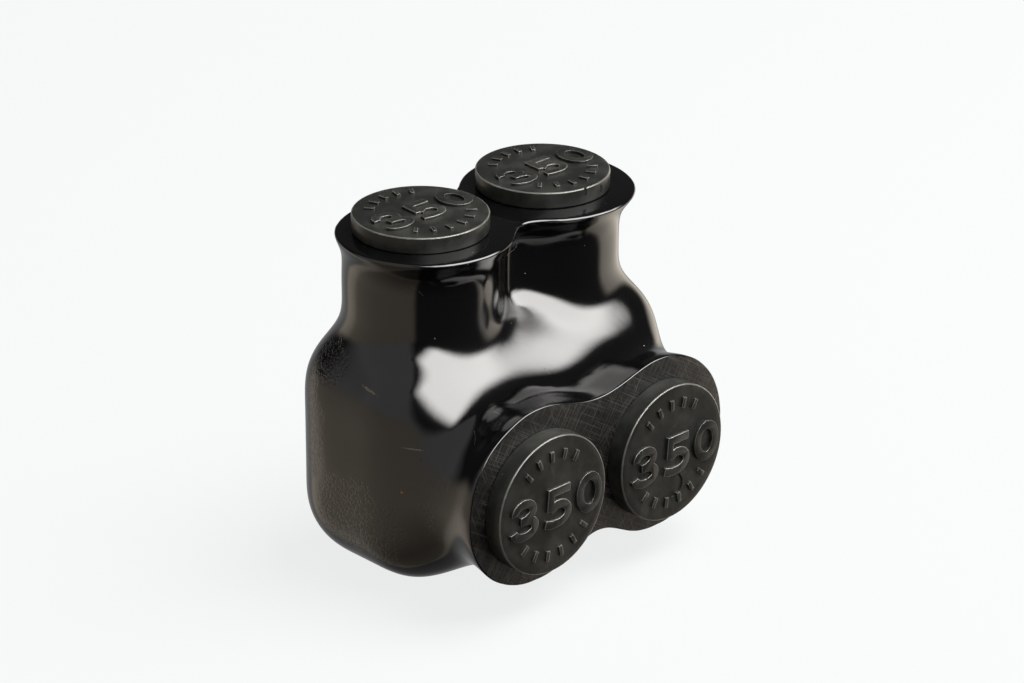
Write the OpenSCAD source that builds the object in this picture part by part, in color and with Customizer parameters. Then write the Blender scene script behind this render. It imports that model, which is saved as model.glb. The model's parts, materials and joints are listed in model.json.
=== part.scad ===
// Insulated tap connector: two conductor ports side by side at the front,
// one set screw above each, in a dip-moulded cover with a plug in every hole.
// Millimetres, +Z up, ports opening towards -Y. The origin is the middle of
// the footprint, on the surface that the connector stands on.

/* [Ports] */
// Spacing of the two conductor ports, and of the two set screws above them
port_pitch = 28.6; // [26:0.1:34]
// Bore of a conductor port in the metal block
port_d = 19; // [12:0.1:20]
// Height of the port axes above the foot
port_h = 19.5; // [18:0.1:23]
// Depth of a port from the front of the block
port_depth = 23; // [20:0.5:25]

/* [Body of the cover] */
// Width of the cover's body
body_w = 65; // [62:0.5:76]
// Depth of the cover's body, front to back
body_d = 35; // [33:0.5:44]
// Height of the cover's body, up to its shoulder
body_h = 43.2; // [42.5:0.1:50]
// Radius that rounds the corners and edges of the body
body_r = 12.5; // [9:0.5:14]
// Depth of the rounded bottom that is flattened into the foot
foot_flat = 0.5; // [0.2:0.1:1.5]
// Thickness of the cover over the faces of the block
skin_t = 4; // [3:0.1:5]

/* [Top neck] */
// Height of the top lip above the foot
top_lip_h = 59.5; // [56:0.5:70]
// Radius of each lobe of the top neck
top_neck_r = 13.3; // [12.5:0.1:15]
// Radius of each lobe at the flared top lip
top_lip_r = 15.6; // [14.5:0.1:17]
// Height over which the top neck flares out to its lip
top_flare = 6; // [3:0.5:9]
// Distance that the top lip leans towards the front
top_lean = 1.3; // [0:0.1:2]
// Distance of the screw row behind the middle of the body
row_back = 0.5; // [0:0.1:1.5]
// Bore of the screw access holes
access_d = 20.8; // [18:0.1:21.5]

/* [Front neck] */
// Reach of the front neck from the body to its sawn face
front_reach = 10.5; // [8:0.5:20]
// Radius of each lobe of the front neck
front_neck_r = 14.9; // [14:0.1:16]
// Radius of each lobe at the sawn front lip
front_lip_r = 16.1; // [15:0.1:17.5]
// Length over which the front neck flares out to its lip
front_flare = 7; // [3:0.5:9]
// Height of the front neck's axes above the port axes
front_rise = 0.5; // [0:0.1:1]
// Bore of the entry holes in front of the ports
entry_d = 22; // [20.5:0.1:23]

/* [Blends] */
// Softness of the hollow between the two lobes of the top neck
top_waist = 10; // [4:0.5:16]
// Softness of the hollow between the two lobes at the top lip
top_lip_waist = 6.5; // [2:0.5:10]
// Softness of the hollow over the waist of the front neck, at the body
front_waist = 20; // [12:0.5:22]
// Softness of the hollow over the waist at the sawn front lip
front_lip_waist = 14; // [6:0.5:16]
// Softness of the hollow under the waist of the front neck
under_waist = 10; // [6:0.5:16]
// Softness of the join between the top neck and the body
top_blend = 4; // [1:0.5:6]
// Softness of the join between the front neck and the body
front_blend = 6; // [1:0.5:8]

/* [Set screws] */
// Outside diameter of a set screw
screw_d = 15.88; // [12:0.02:16.5]
// Length of a set screw
screw_l = 12.7; // [9:0.1:14]
// Width across the flats of the hex socket
hex_af = 7.94; // [5:0.02:9]
// Depth of the hex socket
hex_depth = 7; // [4:0.5:8]
// Height of a backed-out screw above the port's bore
screw_rest = 0.3; // [0.1:0.1:1]

/* [Plugs] */
// Diameter of the head of a port plug
port_head_d = 24.7; // [23.5:0.1:26]
// Thickness of the head of a port plug
port_head_t = 3.5; // [2.5:0.1:5]
// Length of the stem of a port plug
port_stem_l = 8; // [6:0.5:9]
// Diameter of the head of a screw cap
cap_head_d = 23.2; // [22.5:0.1:25]
// Thickness of the head of a screw cap
cap_head_t = 2.9; // [2:0.1:4]
// Length of the stem of a screw cap
cap_stem_l = 10; // [7:0.5:12]
// Wall of a plug's hollow stem
stem_t = 1.6; // [1.2:0.1:2.5]
// Number of retaining ribs on a stem
rib_count = 2; // [1:1:3]
// Thickness of a retaining rib
rib_t = 1.2; // [0.8:0.1:1.6]
// Rounding of the front edge of a plug's head
head_edge = 0.5; // [0.2:0.1:1]
// Height of the raised marks on a plug's head
mark_raise = 0.5; // [0.2:0.1:0.8]
// Width of a raised mark
mark_w = 0.8; // [0.6:0.1:1.2]
// Length of a raised mark, along a radius of the head
mark_l = 1.9; // [1:0.1:2.5]
// Distance of the marks from the edge of the head, to their middle
mark_inset = 3.2; // [2.5:0.1:3.5]

/* [Fits] */
// Clearance of a set screw in its tapped hole, on the radius
screw_clear = 0.05; // [0.02:0.01:0.1]
// Clearance of a plug's ribs in its hole, on the radius
rib_clear = 0.08; // [0.02:0.01:0.1]
// Clearance of a plug's stem in its hole, on the radius
stem_clear = 0.5; // [0.3:0.1:0.8]
// Clearance between the block and the cover moulded round it
block_clear = 0.05; // [0.02:0.01:0.2]
// Depth of the broken edge at the mouth of a bore in the block
mouth = 0.8; // [0.4:0.1:1.2]

/* [Mesh] */
// Spacing of the grid that the cover's skin is meshed on
skin_step = 2.3; // [2:0.1:4]

/* [Hidden] */
$fn = 96;

// Over-run that carries a cut clear through a face
over = 1;
left = -1;
right = 1;

// Depth of the whole connector, plug heads included, and its main planes
total_d = mark_raise + port_head_t + front_reach + body_d;
front_lip_y = mark_raise + port_head_t - total_d / 2;
body_front_y = front_lip_y + front_reach;
body_y = body_front_y + body_d / 2;
row_y = body_y + row_back;

// Metal block inside the cover
block_w = body_w - 2 * skin_t;
block_d = body_d - 2 * skin_t;
block_h = body_h - 2 * skin_t;
block_r = body_r - skin_t;
block_bevel = 4;
block_front_y = body_y - block_d / 2;
block_top_h = skin_t + block_h;

// Run of both necks past the plane that trims each lip
lip_spare = 1.5;

// Clear grid round the skin, and the nearest that a grid plane comes to a lip
grid_margin = 1;
grid_clear = 0.6;
// Grid planes in the flare of the top neck, as parts of its height
flare_planes = [0.3, 0.55, 0.75, 0.9];

// Directions of the raised marks on a plug's head, in two arcs
upper_marks = [for (angle = [57:18.25:130]) angle];
lower_marks = [for (angle = [222:19.6:320]) angle];

// ---------- skin of the cover, as one blended form ----------

// The lesser of two distances, rounded over k where they meet
function smooth_min(a, b, k) =
    let (h = max(k - abs(a - b), 0) / k) min(a, b) - h * h * k / 4;

// 1 at the lip, falling to 0 over the length of the flare
function flare(from_lip, length) = min(max(1 - from_lip / length, 0), 1);

// Distance of point p outside a rectangle of the given size and corner radius
function rectangle_gap(p, size, r) =
    let (a = abs(p.x) - size.x / 2 + r, b = abs(p.y) - size.y / 2 + r)
    norm([max(a, 0), max(b, 0)]) + min(max(a, b), 0) - r;

// Distance of p outside two round lobes joined by a soft waist
function lobes_gap(u, v, r, waist) =
    smooth_min(norm([u - port_pitch / 2, v]) - r,
               norm([u + port_pitch / 2, v]) - r, waist);

function body_gap(p) =
    let (h = body_h + foot_flat,
         plan = rectangle_gap([p.x, p.y - body_y], [body_w, body_d], body_r))
    rectangle_gap([plan + h, p.z - body_h + h / 2], [2 * h, h], body_r);

function top_neck_gap(p) =
    let (t = flare(top_lip_h - p.z, top_flare),
         r = top_neck_r + (top_lip_r - top_neck_r) * t * t,
         waist = top_waist + (top_lip_waist - top_waist) * t)
    max(lobes_gap(p.x, p.y - row_y + top_lean * t, r, waist),
        p.z - top_lip_h - lip_spare,
        body_h / 2 - p.z);

function front_neck_gap(p) =
    let (t = flare(p.y - front_lip_y, front_flare),
         r = front_neck_r + (front_lip_r - front_neck_r) * pow(t, 1.5),
         v = p.z - port_h - front_rise,
         over_waist = front_waist + (front_lip_waist - front_waist) * t)
    max(lobes_gap(p.x, v, r, v > 0 ? over_waist : under_waist),
        front_lip_y - lip_spare - p.y,
        p.y - body_y);

// Distance of point p outside the whole skin, negative inside it
function skin_gap(p) =
    smooth_min(smooth_min(body_gap(p), top_neck_gap(p), top_blend),
               front_neck_gap(p), front_blend);

// Point p moved onto the skin along the skin's slope
function onto_skin(p) =
    let (e = 0.02,
         slope = [
             skin_gap(p + [e, 0, 0]) - skin_gap(p - [e, 0, 0]),
             skin_gap(p + [0, e, 0]) - skin_gap(p - [0, e, 0]),
             skin_gap(p + [0, 0, e]) - skin_gap(p - [0, 0, e])
         ] / (2 * e))
    p - skin_gap(p) * slope / max(slope * slope, 0.2);

// Even steps from a to b, none longer than step
function steps(a, b, step) =
    let (n = ceil((b - a) / step)) [for (i = [0:n]) a + (b - a) * i / n];

// One closed mesh of the skin: each grid cell that the skin crosses holds one
// point, and each grid edge that it crosses joins the four cells round it
module skin() {
    // The lobes reach past a narrow body, and a blend swells them by a quarter
    lobes_x = port_pitch / 2 + max(top_lip_r, front_lip_r)
        + max(top_blend, front_blend) / 4;
    side_x = max(body_w / 2, lobes_x) + grid_margin;
    back_y = body_y + body_d / 2 + grid_margin;
    xs = steps(-side_x, side_x, skin_step);
    ys = concat(
        [front_lip_y - lip_spare - grid_margin, front_lip_y - grid_clear],
        steps(front_lip_y + grid_clear, back_y, skin_step));
    zs = concat(
        steps(-foot_flat - grid_margin, top_lip_h - top_flare, skin_step),
        [for (t = flare_planes) top_lip_h - top_flare * (1 - t)],
        [top_lip_h + grid_clear, top_lip_h + lip_spare + grid_margin]);
    nx = len(xs);
    ny = len(ys);
    nz = len(zs);

    gap = [for (k = [0:nz - 1], j = [0:ny - 1], i = [0:nx - 1])
        skin_gap([xs[i], ys[j], zs[k]])];
    function at(i, j, k) = gap[i + nx * (j + ny * k)];
    function point(i, j, k) = [xs[i], ys[j], zs[k]];

    // Where the skin crosses the grid edge between two corners, if it does
    function crossing(a, b) =
        let (ga = at(a.x, a.y, a.z), gb = at(b.x, b.y, b.z))
        (ga < 0) == (gb < 0) ? []
        : [point(a.x, a.y, a.z) + (point(b.x, b.y, b.z) - point(a.x, a.y, a.z))
           * ga / (ga - gb)];
    edges = [
        for (u = [0, 1], v = [0, 1]) [[0, u, v], [1, u, v]],
        for (u = [0, 1], v = [0, 1]) [[u, 0, v], [u, 1, v]],
        for (u = [0, 1], v = [0, 1]) [[u, v, 0], [u, v, 1]]
    ];
    function mean(list) = [for (p = list) 1] * list / len(list);
    cells = [for (k = [0:nz - 2], j = [0:ny - 2], i = [0:nx - 2])
        let (hits = [for (e = edges)
            each crossing([i, j, k] + e[0], [i, j, k] + e[1])])
        len(hits) == 0 ? undef : onto_skin(onto_skin(mean(hits)))];
    points = [for (c = cells) if (!is_undef(c)) c];
    number = [for (c = 0, n = 0; c < len(cells);
                   n = n + (is_undef(cells[c]) ? 0 : 1), c = c + 1) n];
    function cell(i, j, k) = number[i + (nx - 1) * (j + (ny - 1) * k)];

    // Two triangles over the four cells round a crossed edge, facing outwards
    function patch(q, inside_first) =
        let (short = norm(points[q[0]] - points[q[2]])
                   < norm(points[q[1]] - points[q[3]]),
             s = short ? q : [q[1], q[2], q[3], q[0]])
        inside_first ? [[s[2], s[1], s[0]], [s[3], s[2], s[0]]]
                     : [[s[0], s[1], s[2]], [s[0], s[2], s[3]]];
    faces = [
        for (k = [1:nz - 2], j = [1:ny - 2], i = [0:nx - 2])
            let (a = at(i, j, k) < 0, b = at(i + 1, j, k) < 0)
            if (a != b) each patch([cell(i, j - 1, k - 1), cell(i, j, k - 1),
                                    cell(i, j, k), cell(i, j - 1, k)], a),
        for (k = [1:nz - 2], j = [0:ny - 2], i = [1:nx - 2])
            let (a = at(i, j, k) < 0, b = at(i, j + 1, k) < 0)
            if (a != b) each patch([cell(i - 1, j, k - 1), cell(i - 1, j, k),
                                    cell(i, j, k), cell(i, j, k - 1)], a),
        for (k = [0:nz - 2], j = [1:ny - 2], i = [1:nx - 2])
            let (a = at(i, j, k) < 0, b = at(i, j, k + 1) < 0)
            if (a != b) each patch([cell(i - 1, j - 1, k), cell(i, j - 1, k),
                                    cell(i, j, k), cell(i - 1, j, k)], a)
    ];
    polyhedron(points, faces, convexity = 6);
}

// ---------- placing ----------

// Children on the axis of one set screw, at height z, pointing up
module on_screw_axis(side, z) {
    translate([side * port_pitch / 2, row_y, z]) children();
}

// Children on the axis of one port, at depth y, pointing out of the front
module on_port_axis(side, y) {
    translate([side * port_pitch / 2, y, port_h]) rotate([90, 0, 0]) children();
}

// ---------- pieces ----------

// Block of rounded plan, bevelled round its top and foot, grown by extra
module block_form(extra = 0) {
    w = block_w + 2 * extra;
    d = block_d + 2 * extra;
    h = block_h + 2 * extra;
    r = block_r + extra;
    module bevelled(width, length) {
        u = width / 2;
        v = h / 2;
        c = block_bevel;
        rotate([90, 0, 0])
            linear_extrude(length + 2 * over, center = true)
                polygon([[-u, c - v], [c - u, -v], [u - c, -v], [u, c - v],
                         [u, v - c], [u - c, v], [c - u, v], [-u, v - c]]);
    }
    translate([0, body_y, skin_t + block_h / 2])
        intersection() {
            union() {
                cube([w - 2 * r, d, h], center = true);
                cube([w, d - 2 * r, h], center = true);
                for (sx = [-1, 1], sy = [-1, 1])
                    translate([sx * (w / 2 - r), sy * (d / 2 - r), 0])
                        cylinder(r = r, h = h, center = true);
            }
            bevelled(w, d);
            rotate([0, 0, 90]) bevelled(d, w);
        }
}

module terminal_block() {
    color("#b9bcbf")
        difference() {
            block_form();
            for (side = [left, right]) {
                on_port_axis(side, block_front_y + port_depth)
                    cylinder(d = port_d, h = port_depth + over);
                on_port_axis(side, block_front_y + mouth)
                    cylinder(d1 = port_d, d2 = port_d + 4 * mouth, h = 2 * mouth);
                on_screw_axis(side, port_h)
                    cylinder(r = screw_d / 2 + screw_clear,
                             h = block_top_h - port_h + over);
                on_screw_axis(side, block_top_h - mouth)
                    cylinder(d1 = screw_d, d2 = screw_d + 4 * mouth, h = 2 * mouth);
            }
        }
}

module insulating_cover() {
    color("#141415")
        difference() {
            intersection() {
                skin();
                translate([-body_w, front_lip_y, 0])
                    cube([2 * body_w, total_d, top_lip_h]);
            }
            block_form(block_clear);
            for (side = [left, right]) {
                on_port_axis(side, body_y)
                    cylinder(d = entry_d, h = body_y - front_lip_y + over);
                on_screw_axis(side, body_h / 2)
                    cylinder(d = access_d, h = top_lip_h - body_h / 2 + over);
            }
        }
}

module set_screw(side) {
    color("#a9adb1")
        on_screw_axis(side, port_h + port_d / 2 + screw_rest)
            difference() {
                intersection() {
                    cylinder(d = screw_d, h = screw_l);
                    translate([0, 0, -over])
                        cylinder(d1 = screw_d - 2 * mouth - 2 * over,
                                 d2 = screw_d - 2 * mouth + 2 * screw_l,
                                 h = screw_l + over);
                }
                translate([0, 0, screw_l - hex_depth])
                    cylinder(d = hex_af / cos(30), h = hex_depth + over, $fn = 6);
            }
}

// Plug with a flat head that rests on the lip and a hollow ribbed stem in the
// hole, head upwards and the lip at height 0
module plug(head_d, head_t, stem_l, hole_d) {
    stem_r = hole_d / 2 - stem_clear;
    rib_r = rib_t / 2;
    rib_step = stem_l / (rib_count + 0.5);
    rotate_extrude()
        difference() {
            union() {
                square([head_d / 2, head_t - head_edge]);
                square([head_d / 2 - head_edge, head_t]);
                translate([head_d / 2 - head_edge, head_t - head_edge])
                    circle(r = head_edge, $fn = 32);
                translate([0, -stem_l]) square([stem_r, stem_l + head_edge]);
                for (i = [1:rib_count])
                    translate([hole_d / 2 - rib_clear - rib_r, -rib_step * i])
                        circle(r = rib_r, $fn = 32);
            }
            translate([-over, -stem_l - over])
                square([stem_r - stem_t + over, stem_l + over]);
            translate([-2 * over, -stem_l - over])
                square([2 * over, stem_l + head_t + 2 * over]);
        }
    for (angle = concat(upper_marks, lower_marks))
        rotate([0, 0, angle])
            translate([head_d / 2 - mark_inset - mark_l / 2, -mark_w / 2,
                       head_t - head_edge])
                cube([mark_l, mark_w, head_edge + mark_raise]);
}

module port_plug(side) {
    color("#1b1b1c")
        on_port_axis(side, front_lip_y)
            plug(port_head_d, port_head_t, port_stem_l, entry_d);
}

module screw_cap(side) {
    color("#1b1b1c")
        on_screw_axis(side, top_lip_h)
            plug(cap_head_d, cap_head_t, cap_stem_l, access_d);
}

insulating_cover();
terminal_block();
set_screw(left);  // set_screw_left
set_screw(right);  // set_screw_right
port_plug(left);  // port_plug_left
port_plug(right);  // port_plug_right
screw_cap(left);  // screw_cap_left
screw_cap(right);  // screw_cap_right
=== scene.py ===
import json
import math

import bmesh
import bpy
import numpy as np
from mathutils import Matrix, Vector

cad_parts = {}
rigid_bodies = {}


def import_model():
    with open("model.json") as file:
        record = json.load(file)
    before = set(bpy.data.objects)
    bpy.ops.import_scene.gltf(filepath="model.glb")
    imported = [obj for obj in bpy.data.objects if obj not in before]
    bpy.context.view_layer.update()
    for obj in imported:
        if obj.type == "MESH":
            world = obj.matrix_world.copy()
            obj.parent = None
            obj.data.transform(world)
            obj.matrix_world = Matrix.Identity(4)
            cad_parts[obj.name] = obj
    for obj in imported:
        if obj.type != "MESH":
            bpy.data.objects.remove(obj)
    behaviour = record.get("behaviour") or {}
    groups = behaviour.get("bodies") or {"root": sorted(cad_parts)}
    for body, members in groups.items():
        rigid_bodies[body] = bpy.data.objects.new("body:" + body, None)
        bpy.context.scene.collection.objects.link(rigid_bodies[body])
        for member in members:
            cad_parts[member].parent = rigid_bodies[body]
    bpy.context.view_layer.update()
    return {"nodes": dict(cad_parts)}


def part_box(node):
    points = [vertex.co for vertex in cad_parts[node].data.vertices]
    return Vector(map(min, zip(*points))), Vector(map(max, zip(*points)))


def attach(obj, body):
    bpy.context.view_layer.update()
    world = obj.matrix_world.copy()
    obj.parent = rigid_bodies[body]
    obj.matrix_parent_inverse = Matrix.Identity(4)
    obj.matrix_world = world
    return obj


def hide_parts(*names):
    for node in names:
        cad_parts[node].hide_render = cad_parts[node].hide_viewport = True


# An insulated tap connector: a dip-moulded cover over a metal block, with a plug in
# each of its four holes.

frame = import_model()

# ---------------------------------------------------------------- sizes
# Metres, +Z up, the conductor ports open towards -Y.

MM = 0.001
SIDES = ("left", "right")
cover_low, cover_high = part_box("insulating_cover")
block_low, block_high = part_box("terminal_block")
LIP_Z = cover_high.z          # plane of the top lip
LIP_Y = cover_low.y           # plane of the sawn front lip

ENTRY_R = 11.0 * MM           # entry holes in the front neck
ACCESS_R = 10.4 * MM          # screw access holes in the top neck
BLOCK_BEVEL = 4.0 * MM        # bevel of the room's level edges
BLOCK_CORNER = 8.5 * MM       # rounding of its upright edges
HALF_TURN = math.pi
QUARTER_TURN = math.pi / 2
SHARP = math.radians(35)      # edges sharper than this are shaded as edges


def middle(node):
    """Middle of a CAD node's box."""
    low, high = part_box(node)
    return (low + high) / 2


# ---------------------------------------------------------------- modelling helpers

def alone(obj):
    """Selects obj and nothing else."""
    bpy.ops.object.select_all(action="DESELECT")
    obj.select_set(True)
    bpy.context.view_layer.objects.active = obj
    return obj


def edit(obj):
    """Opens obj in edit mode."""
    alone(obj)
    bpy.ops.object.mode_set(mode="EDIT")


def done():
    """Leaves edit mode."""
    bpy.ops.object.mode_set(mode="OBJECT")


def pick(obj, kind, test):
    """In edit mode, selects the vertices, edges or faces that pass the test."""
    bpy.ops.mesh.select_all(action="DESELECT")
    bpy.ops.mesh.select_mode(type=kind)
    shape = bmesh.from_edit_mesh(obj.data)
    parts = {"VERT": shape.verts, "EDGE": shape.edges, "FACE": shape.faces}[kind]
    parts.ensure_lookup_table()
    for part in parts:
        if test(part):
            part.select_set(True)
    shape.select_flush_mode()
    bmesh.update_edit_mesh(obj.data)


def centre(edge):
    """Middle of an edge."""
    return (edge.verts[0].co + edge.verts[1].co) / 2


def apply(obj, kind, **settings):
    """Adds a modifier with its settings and applies it."""
    alone(obj)
    modifier = obj.modifiers.new(kind.title(), kind)
    for name, value in settings.items():
        setattr(modifier, name, value)
    bpy.ops.object.modifier_apply(modifier=modifier.name)


def settle(obj, at=(0, 0, 0), turn=(0, 0, 0)):
    """Moves a finished shape to its place and puts the place in its mesh."""
    alone(obj)
    obj.location = at
    obj.rotation_euler = turn
    bpy.ops.object.transform_apply(location=True, rotation=True, scale=True)
    return obj


def points_of(obj):
    """The points of a mesh, one row each."""
    flat = np.empty(len(obj.data.vertices) * 3)
    obj.data.vertices.foreach_get("co", flat)
    return flat.reshape(-1, 3)


def move_points(obj, points):
    """Puts a mesh's points at new places."""
    obj.data.vertices.foreach_set("co", np.asarray(points, float).ravel())
    obj.data.update()


def turned(name, rings, sides=96):
    """A round closed piece: a circle extruded and resized ring by ring.

    Each ring is (radius, height)."""
    bpy.ops.object.select_all(action="DESELECT")
    first_r, first_z = rings[0]
    bpy.ops.mesh.primitive_circle_add(
        vertices=sides, radius=first_r, fill_type="NGON", location=(0, 0, first_z))
    obj = bpy.context.object
    obj.name = name
    bpy.ops.object.transform_apply(location=True)
    edit(obj)
    bpy.ops.mesh.select_mode(type="EDGE")
    bpy.ops.mesh.select_all(action="SELECT")
    for (r0, z0), (r1, z1) in zip(rings, rings[1:]):
        bpy.ops.mesh.extrude_edges_move(
            TRANSFORM_OT_translate={"value": (0, 0, z1 - z0)})
        bpy.ops.transform.resize(
            value=(r1 / r0, r1 / r0, 1), center_override=(0, 0, z1))
    bpy.ops.mesh.edge_face_add()
    bpy.ops.mesh.select_all(action="SELECT")
    bpy.ops.mesh.normals_make_consistent(inside=False)
    done()
    return obj


def cut_away(obj, cutter, solver="EXACT"):
    """Cuts one closed shape out of another and removes the cutter."""
    apply(obj, "BOOLEAN", operation="DIFFERENCE", object=cutter, solver=solver)
    bpy.data.objects.remove(cutter)


def rounded(r, z, edge, steps=4):
    """Rings over a rounded outer edge, from the wall at radius r up to height z."""
    return [(r - edge + edge * math.cos(a), z - edge + edge * math.sin(a))
            for a in np.linspace(0, QUARTER_TURN, steps + 1)]


# ---------------------------------------------------------------- insulating cover

SKIN_VOXEL = 0.55 * MM        # fine enough for the narrowest blend of the skin
SKIN_SMOOTH = 60              # rounds that turn the CAD facets into one curved skin
LIP_RUN = 3.0 * MM            # the skin is drawn past a lip by two such steps,
LIP_EASE = (1, 0.4)           # and its flare eases off, before it is cut there
SLOPE_SMOOTH = 12             # rounds that even the flare along a lip
RIM = 0.45 * MM               # rounding of the top lip
BURR = 0.22 * MM              # rounding of the sawn front lip
RIM_SPAN = 0.6 * MM           # run of a lip's edge that its direction is read from
SLIVER = 0.25 * MM            # shorter steps of a cut edge are merged
EDGE_REACH = 1.6 * MM         # how far along itself a cut edge is evened
EDGE_TAKES = 9                # places along that reach that are averaged
WELD = 0.002 * MM             # points of the CAD mesh closer than this are one
NEAR = 0.1 * MM               # what is this near to a plane or wall belongs to it
FACING = 0.99                 # least share of a normal that faces a direction
LEAST_FLAT = 0.3              # keeps the slope of a steep flare in bounds
OVERRUN = 2 * MM              # cutters run past what they cut
ROOM_PLAY = 0.1 * MM          # the room is this much larger than the block
HOLE_SIDES = 128


def closed_skin():
    """The CAD cover's outer skin alone, closed, and drawn past both lips."""
    source = frame["nodes"]["insulating_cover"]
    obj = bpy.data.objects.new("dipped_cover", source.data.copy())
    bpy.context.scene.collection.objects.link(obj)
    obj.data.materials.clear()
    edit(obj)
    bpy.ops.mesh.select_all(action="SELECT")
    bpy.ops.mesh.remove_doubles(threshold=WELD)
    axes = [(middle("port_plug_" + s), middle("screw_cap_" + s)) for s in SIDES]

    def is_hole(face):
        p = face.calc_center_median()
        return any(
            math.hypot(p.x - port.x, p.z - port.z) < ENTRY_R + NEAR
            and p.y < block_low.y + NEAR
            or math.hypot(p.x - screw.x, p.y - screw.y) < ACCESS_R + NEAR
            and p.z > block_high.z - NEAR
            for port, screw in axes)

    def is_lip(face):
        p = face.calc_center_median()
        on_top = p.z > LIP_Z - NEAR and face.normal.z > FACING
        on_front = p.y < LIP_Y + NEAR and face.normal.y < -FACING
        return on_top or on_front

    pick(obj, "FACE", lambda f: is_hole(f) or is_lip(f))
    bpy.ops.mesh.delete(type="FACE")
    # What is left is the skin and, apart from it, the walls of the room inside.
    pick(obj, "VERT", lambda v: v.co.z < cover_low.z + NEAR)
    bpy.ops.mesh.select_linked()
    bpy.ops.mesh.select_all(action="INVERT")
    bpy.ops.mesh.delete(type="VERT")
    for axis, plane in ((2, LIP_Z), (1, LIP_Y)):
        pick(obj, "EDGE", lambda e: e.is_boundary
             and abs(centre(e)[axis] - plane) < NEAR)
        shape = bmesh.from_edit_mesh(obj.data)
        loop = [v for v in shape.verts if v.select]
        slope = flare_of(shape, loop, axis)
        for ease in LIP_EASE:
            bpy.ops.mesh.extrude_edges_move(
                TRANSFORM_OT_translate={"value": (0, 0, 0)})
            shape = bmesh.from_edit_mesh(obj.data)
            moved = {}
            for v in shape.verts:
                if v.select:
                    along, flat = slope[nearest(slope, v.co)]
                    v.co += (along + flat * ease) * LIP_RUN
                    moved[tuple(v.co)] = (along, flat)
            slope = moved
            bmesh.update_edit_mesh(obj.data)
        bpy.ops.mesh.edge_face_add()
    done()
    return obj


def nearest(table, point):
    """The key of a table that lies nearest to a point."""
    return min(table, key=lambda p: (Vector(p) - point).length_squared)


def flare_of(shape, loop, axis):
    """For each point of a lip's edge, one unit out of the lip, and how far the
    skin's slope moves it sideways over that unit."""
    along = Vector((0, 0, 0))
    along[axis] = 1 if axis == 2 else -1
    out = {}
    for v in loop:
        normal = Vector((0, 0, 0))
        for f in v.link_faces:
            normal += f.normal * f.calc_area()
        normal.normalize()
        flat = normal - along * normal.dot(along)
        flat.normalize()
        rise = -normal.dot(along) / max(normal.dot(flat), LEAST_FLAT)
        out[tuple(v.co)] = flat * rise
    # Evened along the edge, so that the facets beside it don't make it wavy
    for _ in range(SLOPE_SMOOTH):
        out = {tuple(v.co): (2 * out[tuple(v.co)] + sum(
            (out[tuple(e.other_vert(v).co)] for e in v.link_edges if e.is_boundary),
            Vector((0, 0, 0)))) / 4 for v in loop}
    return {place: (along, flat) for place, flat in out.items()}


def even(obj, rounds):
    """The points of obj after some rounds of smoothing."""
    edit(obj)
    bpy.ops.mesh.select_all(action="SELECT")
    bpy.ops.mesh.vertices_smooth(factor=0.5, repeat=rounds)
    done()
    return points_of(obj)


def dipped_cover():
    """The whole cover: its skin, both rolled-over lips, the holes and the room."""
    obj = closed_skin()
    apply(obj, "REMESH", mode="VOXEL", voxel_size=SKIN_VOXEL, use_smooth_shade=True)
    once, twice, thrice = (even(obj, SKIN_SMOOTH) for _ in range(3))
    # Smoothing draws curved skin inwards; this gives back what it took, within
    # the cover's own width, depth and foot.
    low = (cover_low.x, -1, cover_low.z)
    high = (cover_high.x, cover_high.y, 1)
    move_points(obj, np.clip(3 * (once - twice) + thrice, low, high))
    edit(obj)
    for plane, out, round_over in ((LIP_Z, Vector((0, 0, 1)), RIM),
                                   (-LIP_Y, Vector((0, -1, 0)), BURR)):
        bpy.ops.mesh.select_all(action="SELECT")
        bpy.ops.mesh.bisect(plane_co=out * (plane - round_over), plane_no=out,
                            clear_outer=True)
        pick(obj, "EDGE", lambda e: e.is_boundary)
        bpy.ops.mesh.remove_doubles(threshold=SLIVER)
        pick(obj, "EDGE", lambda e: e.is_boundary)
        even_edge(obj)
        roll_over(obj, out, round_over)
    done()
    for cutter in cover_holes():
        cut_away(obj, cutter, "MANIFOLD")
    return obj


def roll_over(obj, out, radius, steps=4):
    """Rounds the selected cut edge over into a flat lip that faces out."""
    for step in range(steps):
        a0, a1 = (QUARTER_TURN * k / steps for k in (step, step + 1))
        inward = radius * (math.cos(a0) - math.cos(a1))
        rise = out * radius * (math.sin(a1) - math.sin(a0))
        shape = bmesh.from_edit_mesh(obj.data)
        inside = inward_steps([e for e in shape.edges if e.select], out)
        bpy.ops.mesh.extrude_edges_move(TRANSFORM_OT_translate={"value": rise})
        shape = bmesh.from_edit_mesh(obj.data)
        for v in shape.verts:
            if v.select:
                v.co += inside[place_key(v.co, out)] * inward
        bmesh.update_edit_mesh(obj.data)
    bpy.ops.mesh.edge_face_add()


def place_key(point, out):
    """Where a point is across the direction out, as a key."""
    return tuple(round(c, 7) for c in point - out * point.dot(out))


def in_order(edges):
    """The points of a closed loop of edges, one after another."""
    links = {}
    for e in edges:
        a, b = e.verts
        links.setdefault(a, []).append(b)
        links.setdefault(b, []).append(a)
    start = next(iter(links))
    loop, last = [start], None
    while True:
        ways = [v for v in links[loop[-1]] if v is not last]
        last = loop[-1]
        if ways[0] is start and len(loop) > 2:
            return loop
        loop.append(ways[0])


def shifted(points, step):
    """Each point of a closed loop moved along it by a step."""
    ring = np.vstack([points, points[:1]])
    run = np.concatenate([[0], np.cumsum(np.linalg.norm(np.diff(ring, axis=0), axis=1))])
    at = (run[:-1] + step) % run[-1]
    return np.stack([np.interp(at, run, ring[:, k]) for k in range(3)], -1)


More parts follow.
